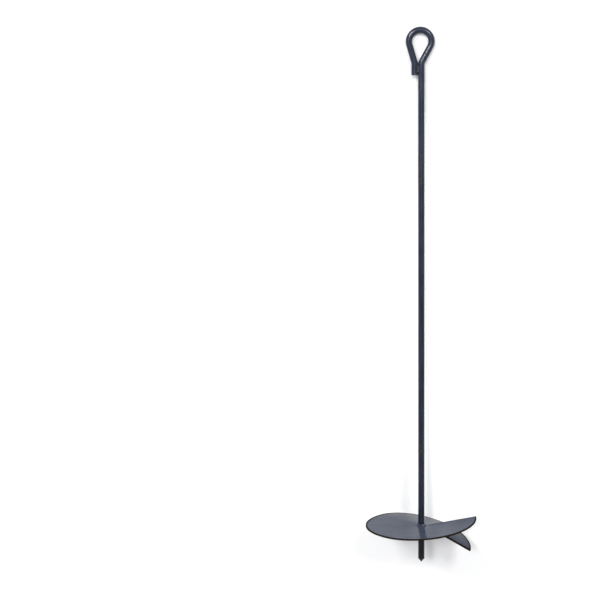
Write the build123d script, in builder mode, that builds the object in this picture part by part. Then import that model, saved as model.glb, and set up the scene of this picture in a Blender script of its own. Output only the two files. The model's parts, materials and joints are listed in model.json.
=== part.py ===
from build123d import *
from math import acos, asin, atan2, cos, degrees, hypot, radians, sin
import os

# Screw earth anchor: a round bar bent into a closed eye at one end and pointed at the
# other, with one turn of helix plate welded round it just above the point.
# Millimetres. The anchor lies on the ground as it comes to rest: on the far end of its
# eye and on the rim of its plate, with the flat side of the eye facing up.
# +Y runs from the point towards the eye, +Z is up, and the ground is Z = 0.

# ---- Driving dimensions ----------------------------------------------------------------
rod_diameter = 12.0        # round bar
point_depth = 70.0         # end of the point below the middle of the plate
shank_length = 903.5       # middle of the plate to the middle of the eye
point_angle = 80.0         # whole angle of the pointed end

eye_inner_width = 29.0     # clear width of the eye at its widest
eye_neck_length = 39.0     # middle of the eye down to the two bends that close it
eye_offset = 2.0           # middle of the eye, to the left of the shank
neck_bend_radius = 14.0    # middle line of those two bends
tail_length = 22.0         # straight tail beside the shank, below its bend
tail_gap = 0.2             # seam between tail and shank

plate_diameter = 210.0     # sheet disc before its lips are bent apart
plate_thickness = 3.0
slit_width = 0.8           # radial cut from the hub to the rim
hub_clearance = 0.2        # bar to the hole in the plate
hub_flat_radius = 9.5      # flat ring of the plate that the welds sit on
lip_up_angle = 11.0        # trailing lip, bent towards the eye
lip_up_spread = 130.0      # how far round the disc that bend dies out
lip_down_angle = 30.0      # leading lip, bent towards the point
lip_down_spread = 140.0    # how far round the disc that bend dies out
plate_dish = 0.3           # pull of the welds, which lifts the whole rim a little

plate_weld_leg = 3.0       # fillet welds between bar and plate
eye_weld_radius = 4.4      # bead that fills the groove between tail and shank
eye_weld_setback = 2.5     # end of the tail to the start of that bead

plate_ribs = 72            # ribs that the bent plate is ruled between, five degrees apart

# ---- Sizes that follow -----------------------------------------------------------------
rod_radius = rod_diameter / 2
eye_radius = eye_inner_width / 2 + rod_radius
plate_radius = plate_diameter / 2
half_sheet = plate_thickness / 2
bent_width = plate_radius - hub_flat_radius
point_length = rod_radius / sin(radians(point_angle / 2)) * cos(radians(point_angle / 2))
tail_x = -(rod_diameter + tail_gap)


def fade(turn, spread):
    """1 at a lip, falling smoothly to 0 where its bend dies out."""
    share = max(0.0, 1 - turn / spread)
    return share ** 2 * (2 - share)


def bend(azimuth):
    """Slope of the sheet, in radians, at an azimuth from the leading lip round to the trailing."""
    down = lip_down_angle * fade(azimuth, lip_down_spread)
    up = lip_up_angle * fade(360 - azimuth, lip_up_spread)
    return radians(plate_dish + up - down)


def rim_corner(azimuth, side_sign):
    """Radius and height of the rim's upper (+1) or lower (-1) corner at an azimuth."""
    angle = bend(azimuth)
    radius = hub_flat_radius + bent_width * cos(angle) - side_sign * half_sheet * sin(angle)
    height = bent_width * sin(angle) + side_sign * half_sheet * cos(angle)
    return radius, height


# ---- How the anchor lies ---------------------------------------------------------------
# The eye's far end and the rim of the plate touch the ground, so the bar slopes.
rest_radius, rest_height = rim_corner(90, +1)
rest_run = shank_length + eye_radius - rest_height
slope = acos(rod_radius / hypot(rest_radius, rest_run)) - atan2(rest_run, rest_radius)

to_side = Vector(1, 0, 0)
to_eye = Vector(0, cos(slope), -sin(slope))
to_front = Vector(0, sin(slope), cos(slope))

# The hub is placed so that the origin is under the middle of the whole anchor.
reach_left = plate_radius
reach_right = rim_corner(360, -1)[0]
reach_eye = (shank_length + eye_radius) * cos(slope) + rod_radius
reach_point = point_depth * cos(slope)
hub = Vector(
    (reach_left - reach_right) / 2,
    (reach_point - reach_eye) / 2,
    (shank_length + eye_radius) * sin(slope) + rod_radius,
)

# The bar's own plane: X across, Y along the bar from the hub towards the eye.
face_plane = Plane(origin=hub, x_dir=to_side, z_dir=to_front)


def across_plane(height):
    """Plane square to the bar, at a height above the middle of the plate."""
    return Plane(origin=hub + to_eye * height, x_dir=to_side, z_dir=to_eye)


def rib_plane(azimuth):
    """Plane through the bar's axis: X outwards, Y towards the eye."""
    turn = radians(azimuth)
    outwards = to_side * cos(turn) - to_front * sin(turn)
    return Plane(origin=hub, x_dir=outwards, z_dir=outwards.cross(to_eye))


# ---- Bent bar --------------------------------------------------------------------------
# Each straight side of the eye is tangent to its arc and meets its neck bend below.
shank_bend = (0.0, shank_length - eye_neck_length)
tail_bend = (tail_x, shank_length - eye_neck_length)
tail_end = (tail_x, shank_length - eye_neck_length - tail_length)


def side_lean(offset):
    """Lean of a side of the eye whose bend lies this far from below the eye's middle."""
    return asin(eye_radius / hypot(offset, eye_neck_length)) - atan2(offset, eye_neck_length)


right_lean = side_lean(eye_offset)
left_lean = side_lean(-tail_x - eye_offset)
eye_middle = (-eye_offset, shank_length)
right_tangent = (
    eye_middle[0] + eye_radius * cos(right_lean),
    eye_middle[1] - eye_radius * sin(right_lean),
)
left_tangent = (
    eye_middle[0] - eye_radius * cos(left_lean),
    eye_middle[1] - eye_radius * sin(left_lean),
)
eye_turn = 180 + degrees(right_lean + left_lean)
point_shoulder = -point_depth + point_length

with BuildPart() as anchor_rod:
    with BuildLine(face_plane) as bar_line:
        FilletPolyline((0, point_shoulder), shank_bend, right_tangent, radius=neck_bend_radius)
        CenterArc(eye_middle, eye_radius, -degrees(right_lean), eye_turn)
        FilletPolyline(left_tangent, tail_bend, tail_end, radius=neck_bend_radius)
    with BuildSketch(across_plane(point_shoulder)):
        Circle(rod_radius)
    sweep(path=bar_line.line)
    with BuildSketch(face_plane):
        with BuildLine():
            Polyline((0, -point_depth), (rod_radius, point_shoulder), (0, point_shoulder), close=True)
        make_face()
    revolve(axis=Axis(hub, to_eye))
anchor_rod.part.label = "anchor_rod"

# ---- Helix plate -----------------------------------------------------------------------
# A disc slit along one radius, its lips bent apart. Each rib is the sheet's section: a
# flat stretch at the hub, then a straight slope out to a rim cut square to the sheet.
hole_radius = rod_radius + hub_clearance

with BuildPart() as helix_plate:
    for rib in range(plate_ribs + 1):
        azimuth = 360 * rib / plate_ribs
        angle = bend(azimuth)
        fold = half_sheet * sin(angle / 2) / cos(angle / 2)
        plane = rib_plane(azimuth)
        if rib == 0:
            plane.origin = hub - to_front * (slit_width / 2)
        if rib == plate_ribs:
            plane.origin = hub + to_front * (slit_width / 2)
        with BuildSketch(plane):
            with BuildLine():
                Polyline(
                    (hole_radius, -half_sheet),
                    (hub_flat_radius + fold, -half_sheet),
                    rim_corner(azimuth, -1),
                    rim_corner(azimuth, +1),
                    (hub_flat_radius - fold, half_sheet),
                    (hole_radius, half_sheet),
                    close=True,
                )
            make_face()
    loft(ruled=True)
helix_plate.part.label = "helix_plate"

# ---- Welds -----------------------------------------------------------------------------
# Each fillet weld fills the corner between the bar and one face of the plate's flat ring.
weld_toe = rod_radius + plate_weld_leg
weld_top = half_sheet + plate_weld_leg

with BuildPart() as upper_weld:
    with BuildSketch(face_plane):
        with BuildLine():
            Polyline((rod_radius, weld_top), (rod_radius, half_sheet), (weld_toe, half_sheet))
            Line((weld_toe, half_sheet), (rod_radius, weld_top))
        make_face()
    revolve(axis=Axis(hub, to_eye))
upper_weld.part.label = "upper_weld"

with BuildPart() as lower_weld:
    with BuildSketch(face_plane):
        with BuildLine():
            Polyline((rod_radius, -weld_top), (rod_radius, -half_sheet), (weld_toe, -half_sheet))
            Line((weld_toe, -half_sheet), (rod_radius, -weld_top))
        make_face()
    revolve(axis=Axis(hub, to_eye))
lower_weld.part.label = "lower_weld"

# The bead closing the eye fills the groove between two round bars that lie side by side,
# up to where the first of them bends away.
neck_setback = neck_bend_radius * sin(right_lean / 2) / cos(right_lean / 2)
eye_weld_start = tail_end[1] + eye_weld_setback
eye_weld_end = shank_bend[1] - neck_setback

with BuildPart() as eye_weld:
    with BuildSketch(across_plane(eye_weld_start)):
        with Locations((tail_x / 2, 0)):
            Circle(eye_weld_radius)
        with Locations((0, 0), (tail_x, 0)):
            Circle(rod_radius, mode=Mode.SUBTRACT)
    extrude(amount=eye_weld_end - eye_weld_start)
eye_weld.part.label = "eye_weld"

# ---- Files -----------------------------------------------------------------------------
os.makedirs("parts", exist_ok=True)
export_step(anchor_rod.part, "parts/anchor_rod.step")
export_step(helix_plate.part, "parts/helix_plate.step")
export_step(upper_weld.part, "parts/upper_weld.step")
export_step(lower_weld.part, "parts/lower_weld.step")
export_step(eye_weld.part, "parts/eye_weld.step")

print("slope of the bar", round(degrees(slope), 2), "degrees")
print("hub at", [round(value, 2) for value in hub])
print("sides of the eye lean", round(degrees(right_lean), 1), round(degrees(left_lean), 1))
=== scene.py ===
# %% [markdown]
# # Screw earth anchor
# A screw earth anchor is turned into the ground like a corkscrew and then holds a guy wire.
# It is a round bar bent into a closed eye at one end and pointed at the other, with a slit
# and twisted plate welded round it just above the point. The solids come ready from the
# CAD model, so Blender adds what a drawing leaves out: paint, bare edges, rust and welds.

# %% Load the frame
import json
import math
import random

import bpy
from mathutils import Matrix, Vector


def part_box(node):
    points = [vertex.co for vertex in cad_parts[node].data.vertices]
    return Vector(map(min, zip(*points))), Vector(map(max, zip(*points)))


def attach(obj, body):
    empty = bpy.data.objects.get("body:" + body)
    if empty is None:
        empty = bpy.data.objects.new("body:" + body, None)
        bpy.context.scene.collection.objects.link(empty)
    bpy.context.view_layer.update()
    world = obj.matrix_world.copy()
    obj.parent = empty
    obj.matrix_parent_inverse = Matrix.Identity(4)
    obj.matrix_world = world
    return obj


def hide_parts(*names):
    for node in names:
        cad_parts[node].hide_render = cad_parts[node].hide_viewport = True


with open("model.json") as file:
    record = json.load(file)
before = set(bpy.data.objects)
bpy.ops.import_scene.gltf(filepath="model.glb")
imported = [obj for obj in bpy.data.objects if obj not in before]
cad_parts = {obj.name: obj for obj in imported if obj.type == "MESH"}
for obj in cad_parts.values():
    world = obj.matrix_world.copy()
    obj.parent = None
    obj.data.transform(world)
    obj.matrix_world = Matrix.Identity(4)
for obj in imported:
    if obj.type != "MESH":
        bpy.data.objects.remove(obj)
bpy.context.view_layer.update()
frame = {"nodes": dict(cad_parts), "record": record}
print("nodes:", sorted(frame["nodes"]))

# %% [markdown]
# ## The anchor's own directions
# The anchor lies on the ground, sloping from its plate down to its eye, so the world's axes
# are awkward for it. One could turn every number by hand. It is simpler to read two mounts
# that the record already names, the hub of the plate and the eye, and to build a small frame
# from the hub's place and the axes of both: across the bar, away from the flat side of the
# eye, and along the bar.

# %% Directions from the record's mounts
MM = 0.001
mounts = {mount["name"]: mount for mount in frame["record"]["mounts"]}
hub = Vector(mounts["soil_plate"]["pos_m"])
along = Vector(mounts["soil_plate"]["axis"]).normalized()
eye_middle = Vector(mounts["eye"]["pos_m"])
face = Vector(mounts["eye"]["axis"]).normalized()
across = along.cross(face)
behind = -face
anchor_axes = Matrix((across, behind, along)).transposed()


def on_anchor(x, y, z):
    """A point given across the bar, behind its face and along it from the hub, in metres."""
    return hub + anchor_axes @ Vector((x, y, z))


eye_height = (eye_middle - hub).dot(along)
print("hub", [round(v, 4) for v in hub], "eye is", round(eye_height, 4), "m along the bar")

# %% [markdown]
# ## Camera
# The anchor lies down, but it is easiest to know upright, as it goes into the ground. So the
# camera hangs over it and the camera's top points at the eye. One could stand close with a
# wide lens, but the bar would then taper. A long lens from far off keeps the bar nearly the
# same width from end to end. The camera looks from a few degrees on the eye's side of square,
# so that the upper face of the plate shows as a slim ellipse. Swinging it a little to one side
# puts the anchor right of the middle with no lens shift.

# %% Camera
camera_distance = 2.6
camera_aim_height = 0.43
camera_lens = 83.7
camera_reach = 100
camera_lift = math.radians(6.63)
camera_swing = math.radians(4.97)


def make_camera():
    """Hang the camera over the anchor's face and swing it to one side."""
    data = bpy.data.cameras.new("camera")
    data.lens = camera_lens
    data.clip_end = camera_reach
    away = Vector((0, -math.cos(camera_lift), math.sin(camera_lift)))
    place = Vector((0, 0, camera_aim_height)) + away * camera_distance
    top = away.cross(Vector((1, 0, 0)))
    swing = Matrix.Rotation(camera_swing, 3, top)
    right = swing @ Vector((1, 0, 0))
    back = swing @ away
    turned = anchor_axes @ Matrix((right, top, back)).transposed()
    camera = bpy.data.objects.new("camera", data)
    camera.matrix_world = Matrix.Translation(on_anchor(*place)) @ turned.to_4x4()
    bpy.context.collection.objects.link(camera)
    bpy.context.scene.camera = camera
    return camera


camera = make_camera()
print("camera at", [round(v, 2) for v in camera.location])

# %% [markdown]
# ## Floor and light
# Gloss paint shows what is around it, so the light is as much a part of the finish as the
# colour is. One lamp could light the anchor, but each highlight on its round bar comes from
# one direction only, so there are three soft panels. The one beyond the eye on the left draws
# the highlights on the left of the ring and inside its right leg. The one on the right draws
# the ring's other highlight. The third hangs high, and throws the soft shadow that stays close
# to the bar. All stand several metres off, so that the floor is lit evenly. The floor is lit
# past white on purpose, to read as an endless white ground, and an even pale surround fills
# in the rest.

# %% Floor
floor_half = 9.0


def make_floor():
    """A wide plain sheet at the height that the anchor rests on."""
    mesh = bpy.data.meshes.new("floor")
    corners = [(-1, -1), (1, -1), (1, 1), (-1, 1)]
    points = [(x * floor_half, y * floor_half, 0) for x, y in corners]
    mesh.from_pydata(points, [], [(0, 1, 2, 3)])
    floor = bpy.data.objects.new("floor", mesh)
    bpy.context.collection.objects.link(floor)
    return floor


floor = make_floor()
print("floor is", 2 * floor_half, "m wide")

# %% Lights
surround_colour = (0.98, 0.985, 1.0, 1)
surround_strength = 0.58
bpy.context.scene.view_settings.view_transform = "Standard"


def make_panel(name, place, size, power):
    """A square soft panel, in metres and watts, that faces the ground under the anchor."""
    data = bpy.data.lights.new(name, "AREA")
    data.shape = "SQUARE"
    data.size = size
    data.energy = power
    panel = bpy.data.objects.new(name, data)
    panel.location = place
    panel.rotation_euler = (-Vector(place)).to_track_quat("-Z", "Y").to_euler()
    bpy.context.collection.objects.link(panel)


make_panel("key_panel", (-3.2, 3.8, 4.4), 1.4, 180)
make_panel("top_panel", (1.6, 3.0, 4.8), 1.1, 120)
make_panel("shade_panel", (-1.5, 3.6, 9.8), 1.5, 400)

world = bpy.data.worlds.new("surround")
world.use_nodes = True
surround = world.node_tree.nodes["Background"]
surround.inputs["Color"].default_value = surround_colour
surround.inputs["Strength"].default_value = surround_strength
bpy.context.scene.world = world

# %% [markdown]
# ## A small kit for node materials
# Every finish below is a chain of a few nodes. Writing each link out in full would bury the
# idea of the finish under wiring, so a short class holds the tree and gives one plain word
# to each kind of step: noise, a band, a mix, a sum. All patterns are laid out in the anchor's
# own directions, so they stay on the metal from whichever side it is seen. The index of
# refraction says how much a coat mirrors. Real paint is near 1.5, and it is set a little lower
# here, because the floor that it mirrors is lit past white.

# %% Node kit
paint_index = 1.38


class Finish:
    """A material that is being mixed: each call adds a node or two and returns an output."""

    def __init__(self, name, ior=paint_index):
        self.material = bpy.data.materials.new(name)
        self.material.use_nodes = True
        self.tree = self.material.node_tree
        self.shader = self.tree.nodes["Principled BSDF"]
        self.shader.inputs["IOR"].default_value = ior

    def add(self, kind, **settings):
        """Add one node with its settings."""
        node = self.tree.nodes.new(kind)
        for key, value in settings.items():
            setattr(node, key, value)
        return node

    def feed(self, socket, value):
        """Link an output to a socket, or set a plain value on it."""
        if isinstance(value, bpy.types.NodeSocket):
            self.tree.links.new(value, socket)
        else:
            socket.default_value = value

    def math(self, operation, a, b=0.0, c=0.0, clamp=False):
        """A sum, product or other step on plain values."""
        node = self.add("ShaderNodeMath", operation=operation, use_clamp=clamp)
        for socket, value in zip(node.inputs, (a, b, c)):
            self.feed(socket, value)
        return node.outputs[0]

    def vector(self, operation, a, b=(0, 0, 0)):
        """The same for places and directions."""
        node = self.add("ShaderNodeVectorMath", operation=operation)
        self.feed(node.inputs[0], a)
        self.feed(node.inputs[1], b)
        return node.outputs["Value" if operation in ("DOT_PRODUCT", "LENGTH") else "Vector"]

    def place(self):
        """Metres across the bar, behind its face and along it from the hub."""
        coordinates = self.add("ShaderNodeTexCoord")
        mapping = self.add("ShaderNodeMapping", vector_type="TEXTURE")
        self.feed(mapping.inputs["Vector"], coordinates.outputs["Object"])
        mapping.inputs["Location"].default_value = hub
        mapping.inputs["Rotation"].default_value = anchor_axes.to_euler()
        return mapping.outputs["Vector"]

    def parts(self, where):
        """The three values of a place: across the bar, behind its face and along it."""
        node = self.add("ShaderNodeSeparateXYZ")
        self.feed(node.inputs[0], where)
        return node.outputs["X"], node.outputs["Y"], node.outputs["Z"]

    def noise(self, where, scale, stretch=(1, 1, 1), detail=4.0, roughness=0.55):
        """A cloudy pattern: a high scale gives small grains, a low stretch gives streaks."""
        if stretch != (1, 1, 1):
            where = self.vector("MULTIPLY", where, stretch)
        node = self.add("ShaderNodeTexNoise")
        self.feed(node.inputs["Vector"], where)
        node.inputs["Scale"].default_value = scale
        node.inputs["Detail"].default_value = detail
        node.inputs["Roughness"].default_value = roughness
        return node.outputs["Fac"]

    def band(self, value, low, high, out_low=0.0, out_high=1.0):
        """Smoothly carry a value from one range to another. Low may be above high."""
        node = self.add("ShaderNodeMapRange", interpolation_type="SMOOTHSTEP")
        self.feed(node.inputs["Value"], value)
        node.inputs["From Min"].default_value = low
        node.inputs["From Max"].default_value = high
        node.inputs["To Min"].default_value = out_low
        node.inputs["To Max"].default_value = out_high
        return node.outputs["Result"]

    def mix(self, share, a, b):
        """Colour a where the share is 0 and colour b where it is 1."""
        factor, colour_a, colour_b, result = 0, 6, 7, 2
        node = self.add("ShaderNodeMix", data_type="RGBA")
        self.feed(node.inputs[factor], share)
        self.feed(node.inputs[colour_a], a)
        self.feed(node.inputs[colour_b], b)
        return node.outputs[result]

    def bump(self, height, depth, before=None):
        """Relief of a depth in metres, laid over an earlier relief if there is one."""
        node = self.add("ShaderNodeBump")
        node.inputs["Strength"].default_value = 1.0
        node.inputs["Distance"].default_value = depth
        self.feed(node.inputs["Height"], height)
        if before is not None:
            self.feed(node.inputs["Normal"], before)
        return node.outputs["Normal"]

    def finish(self, colour, roughness, normal):
        """Feed the shader and hand the material over."""
        self.feed(self.shader.inputs["Base Color"], colour)
        self.feed(self.shader.inputs["Roughness"], roughness)
        self.feed(self.shader.inputs["Normal"], normal)
        return self.material


print("node kit:", [step for step in vars(Finish) if not step.startswith("_")])

# %% [markdown]
# ## Paint on steel
# The anchor has one coat of dark blue-grey paint, dipped or sprayed straight on mill steel.
# Such a coat is thin: its colour drifts a little, its gloss drifts more, its skin has a faint
# orange peel, and hard corners show brown steel through it. A flat colour has none of this,
# and a painted picture of it would blur close up. So each of those becomes one noise at its own
# size, from clouds a few fingers wide to the fine peel. The values of a noise bunch round one
# half, so only that middle spread is stretched over the two colours. Below the plate the coat
# is painted nearly black as a painted shadow of the plate, and the scuffed steel at the point
# is painted nearly black in the same shade.

# %% Colours of the finish
PAINT_DEEP = (0.006, 0.009, 0.018, 1)
PAINT_PALE = (0.019, 0.025, 0.044, 1)
# The plate's colours are its paint plus a painted reflection of the pale floor, which its low
# index leaves out.
PLATE_DEEP_AND_REFLECTION = (0.032, 0.040, 0.064, 1)
PLATE_PALE_AND_REFLECTION = (0.044, 0.054, 0.084, 1)
# Painted shadow: a nearly black coat that stands in for the plate's shade on the end below it.
PLATE_SHADOW_COAT = (0.002, 0.002, 0.004, 1)
# Dark rust, also used as the painted shade in the plate's crease.
RUST_DARK_AND_CREASE_SHADE = (0.010, 0.008, 0.004, 1)
RUST_WARM = (0.038, 0.021, 0.010, 1)
EDGE_BROWN = (0.018, 0.011, 0.009, 1)
# Scuffed steel at the point, painted nearly black because it lies in the plate's painted
# shadow.
POINT_BARE_IN_SHADOW = (0.006, 0.005, 0.005, 1)
noise_spread = (0.38, 0.62)
gloss_spread = (0.3, 0.7)
wave_depth = 0.05 * MM
peel_depth = 0.01 * MM


def paint_skin(finish, where):
    """Normal of the paint's surface: slow waves under a fine orange peel."""
    waves = finish.bump(finish.noise(where, 70, detail=2.0), wave_depth)
    return finish.bump(finish.noise(where, 900, detail=2.0), peel_depth, waves)


def uneven_gloss(finish, where, scale, limits):
    """Roughness of the coat, which drifts between two limits."""
    return finish.band(finish.noise(where, scale, detail=3.0), *gloss_spread, *limits)


def give(node, material):
    """Put a material in every slot of a CAD node."""
    slots = frame["nodes"][node].material_slots
    for slot in slots:
        slot.material = material
    print(node, "->", material.name, "in", len(slots), "slot(s)")


print("paint runs from", PAINT_DEEP[:3], "to", PAINT_PALE[:3])

# %% [markdown]
# ## The bar
# The bar was drawn through dies, so faint streaks run along it, and it is handled by its
# shank, so the paint there is chipped in a few places and rusts in small dark marks. Marks
# could be placed one by one, but each would need its own outline. Here a group of marks is a
# fine noise cut off high, kept only near one height on the bar, which scatters specks where
# wear belongs and leaves the rest of the shank clean. Each group is written as that height and
# half of its length. The point is scuffed dull, because it is the first thing that meets the
# ground. The whole end below the plate is painted darker as the plate's shadow on it, and the
# scuffed steel there is painted dark in that shadow too.

# %% Worn places on the bar
bar_radius = 6 * MM
mark_groups = [(0.668, 0.044), (0.146, 0.022), (0.822, 0.008)]
group_core = 0.3
worn_side = (0.3 * bar_radius, -0.2 * bar_radius)
speck_cut = (0.44, 0.54)
stray_cut = (0.74, 0.78)
patch_cut = (0.42, 0.62)
scuff_heights = (-52 * MM, -66 * MM)


def chipped_places(finish, where):
    """Share of rusty metal: the groups of marks, and a few stray specks."""
    across_bar, _, height = finish.parts(where)
    near_marks = 0.0
    for middle, half_length in mark_groups:
        apart = finish.math("ABSOLUTE", finish.math("SUBTRACT", height, middle))
        near = finish.band(apart, half_length, half_length * group_core)
        near_marks = finish.math("MAXIMUM", near, near_marks)
    near_marks = finish.math("MULTIPLY", near_marks, finish.band(across_bar, *worn_side))
    specks = finish.noise(where, 330, stretch=(1, 1, 0.45), detail=5.0, roughness=0.6)
    chips = finish.math("MULTIPLY", finish.band(specks, *speck_cut), near_marks)
    stray = finish.band(finish.noise(where, 210, detail=4.0), *stray_cut)
    return finish.math("MAXIMUM", chips, stray)


def scuffed_places(finish, where):
    """Share of bare steel at the point, in patches."""
    _, _, height = finish.parts(where)
    patches = finish.band(finish.noise(where, 260), *patch_cut)
    return finish.math("MULTIPLY", finish.band(height, *scuff_heights), patches)


print("groups of marks at", [middle for middle, _ in mark_groups], "m above the hub")

# %% Finish of the bar
shank_top = 0.9
eye_end_lift = 0.08
rust_spread = (0.50, 0.72)
plate_shadow_fade = 6 * MM
bar_roughness = (0.13, 0.20)
dull_extra = 0.35
plate_shadow_extra = 0.15
chip_depth = 0.12 * MM


def bar_finish():
    """Dark gloss paint with drawn streaks, chips, a painted shadow of the plate on the end, and
    a scuffed point.
    """
    finish = Finish("bar_paint")
    where = finish.place()
    _, _, height = finish.parts(where)
    clouds = finish.noise(where, 22, detail=3.0)
    streaks = finish.noise(where, 420, stretch=(1, 1, 0.03), detail=3.0)
    tone = finish.math("MULTIPLY_ADD", streaks, 0.6, finish.math("MULTIPLY", clouds, 0.4))
    # The tone is set a little lighter towards the eye and darker towards the plate.
    lift_towards_eye = finish.band(height, 0.0, shank_top, -eye_end_lift, eye_end_lift)
    tone = finish.band(finish.math("ADD", tone, lift_towards_eye), *noise_spread)
    colour = finish.mix(tone, PAINT_DEEP, PAINT_PALE)
    chips = chipped_places(finish, where)
    rusting = finish.band(finish.noise(where, 500), *rust_spread)
    colour = finish.mix(chips, colour, finish.mix(rusting, RUST_DARK_AND_CREASE_SHADE, RUST_WARM))
    # Painted shadow: below the plate the coat fades to nearly black, standing in for the
    # plate's shade.
    plate_shadow = finish.band(height, 0.0, -plate_shadow_fade)
    colour = finish.mix(plate_shadow, colour, PLATE_SHADOW_COAT)
    # The scuffs are wear, painted in a dark steel colour that keeps the plate's painted shadow.
    scuffed = scuffed_places(finish, where)
    colour = finish.mix(scuffed, colour, POINT_BARE_IN_SHADOW)
    dull = finish.math("MAXIMUM", chips, scuffed)
    roughness = uneven_gloss(finish, where, 55, bar_roughness)
    roughness = finish.math("MULTIPLY_ADD", dull, dull_extra, roughness)
    roughness = finish.math("MULTIPLY_ADD", plate_shadow, plate_shadow_extra, roughness, clamp=True)
    whole_coat = finish.math("SUBTRACT", 1.0, dull)
    relief = finish.bump(whole_coat, chip_depth, paint_skin(finish, where))
    return finish.finish(colour, roughness, relief)


give("anchor_rod", bar_finish())

# %% [markdown]
# ## Bare edges of the plate
# The plate is sheet steel, sheared to a disc, slit and bent. A sheared edge is too sharp to
# hold paint, so it is brown, and the brown creeps a little way onto the faces, in an uneven
# line, where the paint has drawn back. The edges could be given a material of their own, but
# the line would then be as sharp as the edge. So the edge is found from the shape itself:
# where the surface turns away from the bar's direction it is rim or cut. The creeping line
# follows the distance to the rim, with a noise added to make it wander. A wider dark band in
# the same brown follows the distance to the slit, with the same noise.

# %% Where the plate is bare
plate_radius = 105 * MM
flat_radius = 9.5 * MM
rim_inside = 0.6 * MM
rim_outside = 0.2 * MM
rim_wander = 2.4 * MM
back_from = 60 * MM
back_extra = 3.2 * MM
cut_reach = 6.0 * MM
cut_full = 4.6 * MM
cut_wander = 5.0 * MM
cut_start = 2 * MM
turned_away = (0.72, 0.58)


def reach_along_sheet(finish, where):
    """Distance from the flat hub, measured along the bent sheet."""
    _, _, height = finish.parts(where)
    flat = finish.vector("MULTIPLY", where, (1, 1, 0))
    slope = finish.add("ShaderNodeCombineXYZ")
    beyond_hub = finish.math("SUBTRACT", finish.vector("LENGTH", flat), flat_radius)
    finish.feed(slope.inputs["X"], beyond_hub)
    finish.feed(slope.inputs["Z"], height)
    return finish.vector("LENGTH", slope.outputs[0])


def bare_rim(finish, where, wander):
    """Share of bare steel beside the round edge, wider towards the back."""
    _, behind_face, _ = finish.parts(where)
    reach = finish.math("MULTIPLY_ADD", wander, rim_wander, reach_along_sheet(finish, where))
    extra = finish.band(behind_face, -back_from, back_from, 0.0, back_extra)
    rim = plate_radius - flat_radius
    return finish.band(finish.math("ADD", reach, extra), rim - rim_inside, rim + rim_outside)


def slit_dark_band(finish, where, wander):
    """Share of the dark band beside the slit, from the hub outwards."""
    across_bar, behind_face, _ = finish.parts(where)
    from_slit = finish.math("ABSOLUTE", behind_face)
    from_slit = finish.math("MULTIPLY_ADD", wander, cut_wander, from_slit)
    outwards = finish.band(across_bar, flat_radius, flat_radius + cut_start)
    return finish.math("MULTIPLY", finish.band(from_slit, cut_reach, cut_full), outwards)


def bare_and_slit_places(finish, where):
    """Share of bare steel on the plate, together with the dark band beside the slit."""
    geometry = finish.add("ShaderNodeNewGeometry")
    facing = finish.vector("DOT_PRODUCT", geometry.outputs["True Normal"], tuple(along))
    edge = finish.band(finish.math("ABSOLUTE", facing), *turned_away)
    wander = finish.noise(where, 260, detail=3.0)
    lines = [bare_rim(finish, where, wander), slit_dark_band(finish, where, wander)]
    return finish.math("MAXIMUM", edge, finish.math("MAXIMUM", *lines))


print("plate is", round(2 * plate_radius, 3), "m across, flat to", flat_radius, "m")

# %% [markdown]
# ## The plate
# The plate's faces take the same paint as the bar but look paler, because they are mostly seen
# at a low angle, where gloss mirrors the pale floor. Colour alone can't settle that: its index
# of refraction says how much is mirrored. Paint is near 1.5, but over a floor lit past white
# that turns the plate pale grey, so a much lower index is used here, and the colours are set
# paler than the bar's to make up for it. Faint streaks left by the rolls run across the sheet.
# The sheet was bent at a crease beside the hub, and the shade in that crease is painted as a
# fine dark line.

# %% Finish of the plate
plate_index = 1.12
plate_spread = (0.31, 0.69)
crease_outer = 1.6 * MM
crease_inner = 0.2 * MM
crease_end = 34 * MM
crease_full = 16 * MM
crease_start = 8 * MM
crease_shade_share = 0.7
plate_roughness = (0.15, 0.24)
bare_extra = 0.60
bare_depth = 0.08 * MM


def crease_painted_shade(finish, where):
    """Share of the painted shade line in the crease, from the hub away from the slit."""
    across_bar, behind_face, _ = finish.parts(where)
    thin = finish.band(finish.math("ABSOLUTE", behind_face), crease_outer, crease_inner)
    ending = finish.band(across_bar, -crease_end, -crease_full)
    starting = finish.band(across_bar, 0.0, -crease_start, 0.0, crease_shade_share)
    return finish.math("MULTIPLY", finish.math("MULTIPLY", thin, ending), starting)


def plate_finish():
    """Gloss paint set paler as a painted reflection of the floor, with faint rolling streaks
    and bare sheared edges.
    """
    finish = Finish("plate_paint", ior=plate_index)
    where = finish.place()
    clouds = finish.noise(where, 26, detail=5.0, roughness=0.6)
    rolled = finish.noise(where, 150, stretch=(0.10, 1, 0.6), detail=4.0)
    tone = finish.math("MULTIPLY_ADD", rolled, 0.5, finish.math("MULTIPLY", clouds, 0.5))
    # Painted reflection: the paler colours stand in for the floor that the plate mirrors.
    colour = finish.mix(finish.band(tone, *plate_spread), PLATE_DEEP_AND_REFLECTION, PLATE_PALE_AND_REFLECTION)
    # Painted shade: the crease beside the hub is darkened in the colour.
    colour = finish.mix(crease_painted_shade(finish, where), colour, RUST_DARK_AND_CREASE_SHADE)
    bare_and_slit_share = bare_and_slit_places(finish, where)
    brown = finish.mix(finish.noise(where, 500), RUST_DARK_AND_CREASE_SHADE, EDGE_BROWN)
    colour = finish.mix(bare_and_slit_share, colour, brown)
    roughness = uneven_gloss(finish, where, 40, plate_roughness)
    roughness = finish.math("MULTIPLY_ADD", bare_and_slit_share, bare_extra, roughness)
    whole_coat = finish.math("SUBTRACT", 1.0, bare_and_slit_share)
    relief = finish.bump(whole_coat, bare_depth, paint_skin(finish, where))
    return finish.finish(colour, roughness, relief)


give("helix_plate", plate_finish())

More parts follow.
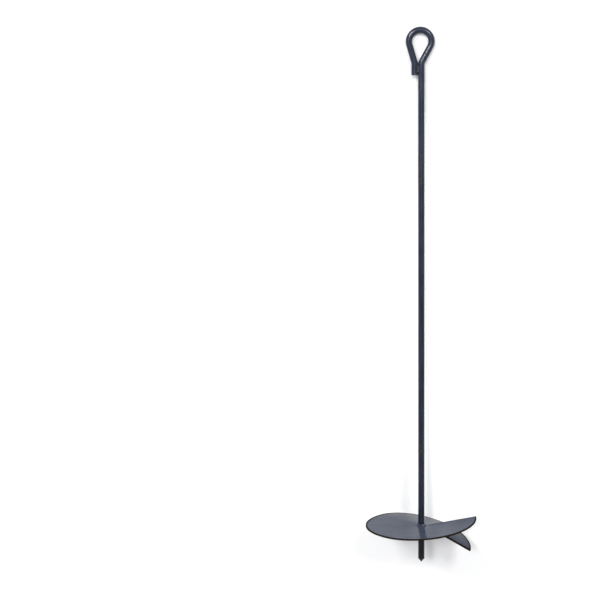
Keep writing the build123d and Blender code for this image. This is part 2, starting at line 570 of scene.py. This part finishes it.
# %% [markdown]
# ## The welds
# A hand-laid weld is a row of puddles that froze one behind the other, so its face is rippled
# and a little uneven. The CAD model holds it as a plain fillet. Bump alone would leave its
# outline smooth, and the outline is what shows beside the bar, so the beads are real meshes:
# a rounded section is carried round the bar while its size swells once for each puddle.

# %% Mesh helpers


def mesh_object(name, points, faces):
    """A smooth-shaded object in the scene."""
    mesh = bpy.data.meshes.new(name)
    mesh.from_pydata(points, [], faces)
    mesh.validate()
    mesh.shade_smooth()
    piece = bpy.data.objects.new(name, mesh)
    bpy.context.collection.objects.link(piece)
    print(name, "has", len(faces), "faces")
    return piece


def tube_faces(rings, around, closed):
    """Quads between rings of points, and end caps where the run of rings is open."""
    faces = []
    last = rings if closed else rings - 1
    for ring in range(last):
        here = ring * around
        following = (ring + 1) % rings * around
        for k in range(around):
            after = (k + 1) % around
            faces.append((here + k, here + after, following + after, following + k))
    if not closed:
        faces.append(tuple(reversed(range(around))))
        faces.append(tuple(range((rings - 1) * around, rings * around)))
    return faces


def turned_over(faces):
    """The same faces seen from their other side."""
    return [tuple(reversed(face)) for face in faces]


print("an open run of 3 rings of 4 points has", len(tube_faces(3, 4, False)), "faces")

# %% Bead round the bar
half_sheet = 1.5 * MM
bead_leg = 3.0 * MM
bead_bulge = 0.63 * MM
bead_root = 0.2 * MM
puddles = 15
puddle_sizes = (0.90, 1.12)
puddle_low = 0.90
puddle_gain = 0.17
puddle_skew = 0.7
puddle_lean = 0.45
steps_a_puddle = 10
steps_round = puddles * steps_a_puddle
steps_across = 12
weld_random = random.Random(7)


def puddle_swell(position):
    """Size of the bead at a place counted in puddles: steep front, long tail."""
    part = position % 1.0
    return math.sin(math.pi * part ** puddle_skew)


def bead_section(position, sizes):
    """Radius and height of the root, then of the bead's face from plate to bar."""
    section = [(bar_radius - bead_root, half_sheet - bead_root)]
    for k in range(steps_across):
        share = k / (steps_across - 1)
        lean = position + puddle_lean * math.sin(math.pi * share)
        swell = puddle_low + puddle_gain * puddle_swell(lean)
        size = sizes[int(lean) % puddles] * swell
        bulge = bead_bulge * math.sin(math.pi * share) * size
        radius = bar_radius + bead_leg * size * (1 - share) + bulge
        height = half_sheet + bead_leg * size * share + bulge
        section.append((radius, height))
    plate_toe, bar_toe = section[1], section[-1]
    section[1] = (plate_toe[0], plate_toe[1] - bead_root)
    section[-1] = (bar_toe[0] - bead_root, bar_toe[1])
    return section


def ring_bead(name, side):
    """Rippled fillet on the eye's (+1) or the point's (-1) side of the plate."""
    sizes = [weld_random.uniform(*puddle_sizes) for _ in range(puddles)]
    points = []
    for step in range(steps_round):
        turn = 2 * math.pi * step / steps_round
        for radius, height in bead_section(step / steps_a_puddle, sizes):
            x, y = radius * math.cos(turn), radius * math.sin(turn)
            points.append(on_anchor(x, y, side * height))
    faces = tube_faces(steps_round, steps_across + 1, True)
    return mesh_object(name, points, turned_over(faces) if side > 0 else faces)


upper_bead = ring_bead("upper_weld_bead", +1)
lower_bead = ring_bead("lower_weld_bead", -1)

# %% [markdown]
# ## The bead that closes the eye
# The tail of the eye lies against the shank, and a short weld in the groove between the two
# keeps the eye from opening under load. A smooth strip would do for the outline, but it would
# not catch the light as a weld does. It is made like the others, but straight: one run of
# puddles in the groove on the front, and one on the back.

# %% Bead between tail and shank
weld_low, weld_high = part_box("eye_weld")
weld_centre = (Vector(weld_low) + Vector(weld_high)) / 2
groove_across = (weld_centre - hub).dot(across)
groove_height = (weld_centre - hub).dot(along)
groove_length = 16.6 * MM
run_half_width = 1.95 * MM
run_edge = 3.45 * MM
run_crown = 1.15 * MM
run_root = 1.2 * MM
run_puddles = 6
run_gain = 0.16
run_steps = run_puddles * 8
arc_steps = 8
end_taper = 6
end_width = 0.75


def run_section(share, side):
    """Points across one run of weld at a share of its length: an arc, then the root."""
    height = groove_height + groove_length * (share - 0.5)
    ends = min(1.0, end_taper * share, end_taper * (1 - share)) ** 0.5
    swell = puddle_low + run_gain * puddle_swell(share * run_puddles)
    half_width = run_half_width * (end_width + (1 - end_width) * ends)
    section = []
    for k in range(arc_steps + 1):
        turn = math.pi * k / arc_steps
        x = groove_across + half_width * math.cos(turn)
        y = side * (run_edge + run_crown * math.sin(turn) * swell * ends)
        section.append(on_anchor(x, y, height))
    section.append(on_anchor(groove_across, side * run_root, height))
    return section


def groove_bead(name):
    """Two rippled runs of weld, in the front and the back groove."""
    points = []
    faces = []
    for side in (-1, 1):
        start = len(points)
        for step in range(run_steps + 1):
            points += run_section(step / run_steps, side)
        run = tube_faces(run_steps + 1, arc_steps + 2, False)
        if side < 0:
            run = turned_over(run)
        faces += [tuple(start + i for i in face) for face in run]
    return mesh_object(name, points, faces)


eye_bead = groove_bead("eye_weld_bead")

# %% [markdown]
# ## Finish of the welds
# The welds were painted over with the rest, but their lumps hold the coat unevenly, and where
# the heat was worst the paint burnt off and left brown. The bead in the eye is browner at its
# upper end. The same two steps serve all three: a noise for the uneven coat, and one cut off
# high for the burnt specks. The beads then take the place of the plain solids.

# %% Painted and burnt welds
upper_dark_height = groove_height + 0.2 * groove_length
upper_dark_fade = 2 * MM
burnt_cut = (0.64, 0.72)
weld_roughness = 0.14
burnt_extra = 0.45
spatter_depth = 0.08 * MM
lump_depth = 0.10 * MM


def weld_finish(name, pale, dark_above=None):
    """Glossy paint over lumpy metal, browner in specks where the heat burnt the coat; also
    browner above a height, if one is given.
    """
    finish = Finish(name)
    where = finish.place()
    tone = finish.noise(where, 160, detail=4.0)
    colour = finish.mix(finish.band(tone, *noise_spread), PAINT_DEEP, pale)
    burnt_and_upper_dark = finish.band(finish.noise(where, 330, detail=5.0), *burnt_cut)
    # Browner at the upper end of the eye's bead, at the bottom of the V between tail and shank.
    if dark_above is not None:
        _, _, height = finish.parts(where)
        upper_dark = finish.band(height, dark_above, dark_above + upper_dark_fade)
        burnt_and_upper_dark = finish.math("MAXIMUM", burnt_and_upper_dark, upper_dark)
    colour = finish.mix(burnt_and_upper_dark, colour, finish.mix(tone, RUST_DARK_AND_CREASE_SHADE, EDGE_BROWN))
    roughness = finish.math("MULTIPLY_ADD", burnt_and_upper_dark, burnt_extra, weld_roughness)
    spatter = finish.bump(finish.noise(where, 520, detail=3.0), spatter_depth)
    return finish.finish(colour, roughness, finish.bump(tone, lump_depth, spatter))


plate_weld_material = weld_finish("weld_paint", PLATE_PALE_AND_REFLECTION)
eye_weld_material = weld_finish("eye_weld_paint", PAINT_PALE, upper_dark_height)
for piece, node, slot, material in (
    (upper_bead, "upper_weld", "weld_paint", plate_weld_material),
    (lower_bead, "lower_weld", "weld_paint", plate_weld_material),
    (eye_bead, "eye_weld", "eye_weld_paint", eye_weld_material),
):
    piece.data.materials.append(material)
    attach(piece, "root")
    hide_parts(node)
    print(piece.name, "replaces", node)

# %% [markdown]
# ## Finish of the floor
# The ground is a pale matt board. A flat white would do while the light on it is this strong.
# The faint unevenness is for weaker light, in which a flat colour looks drawn.

# %% Pale board
board_dark = (0.89, 0.89, 0.892, 1)
board_pale = (0.92, 0.92, 0.92, 1)
board_roughness = 0.85
board_relief = 0.2 * MM


def floor_finish():
    """Pale matt board with the faintest unevenness."""
    finish = Finish("pale_board")
    where = finish.add("ShaderNodeTexCoord").outputs["Object"]
    colour = finish.mix(finish.noise(where, 3), board_dark, board_pale)
    relief = finish.bump(finish.noise(where, 60), board_relief)
    return finish.finish(colour, board_roughness, relief)


floor.data.materials.append(floor_finish())
print("floor is finished as", floor.data.materials[0].name)
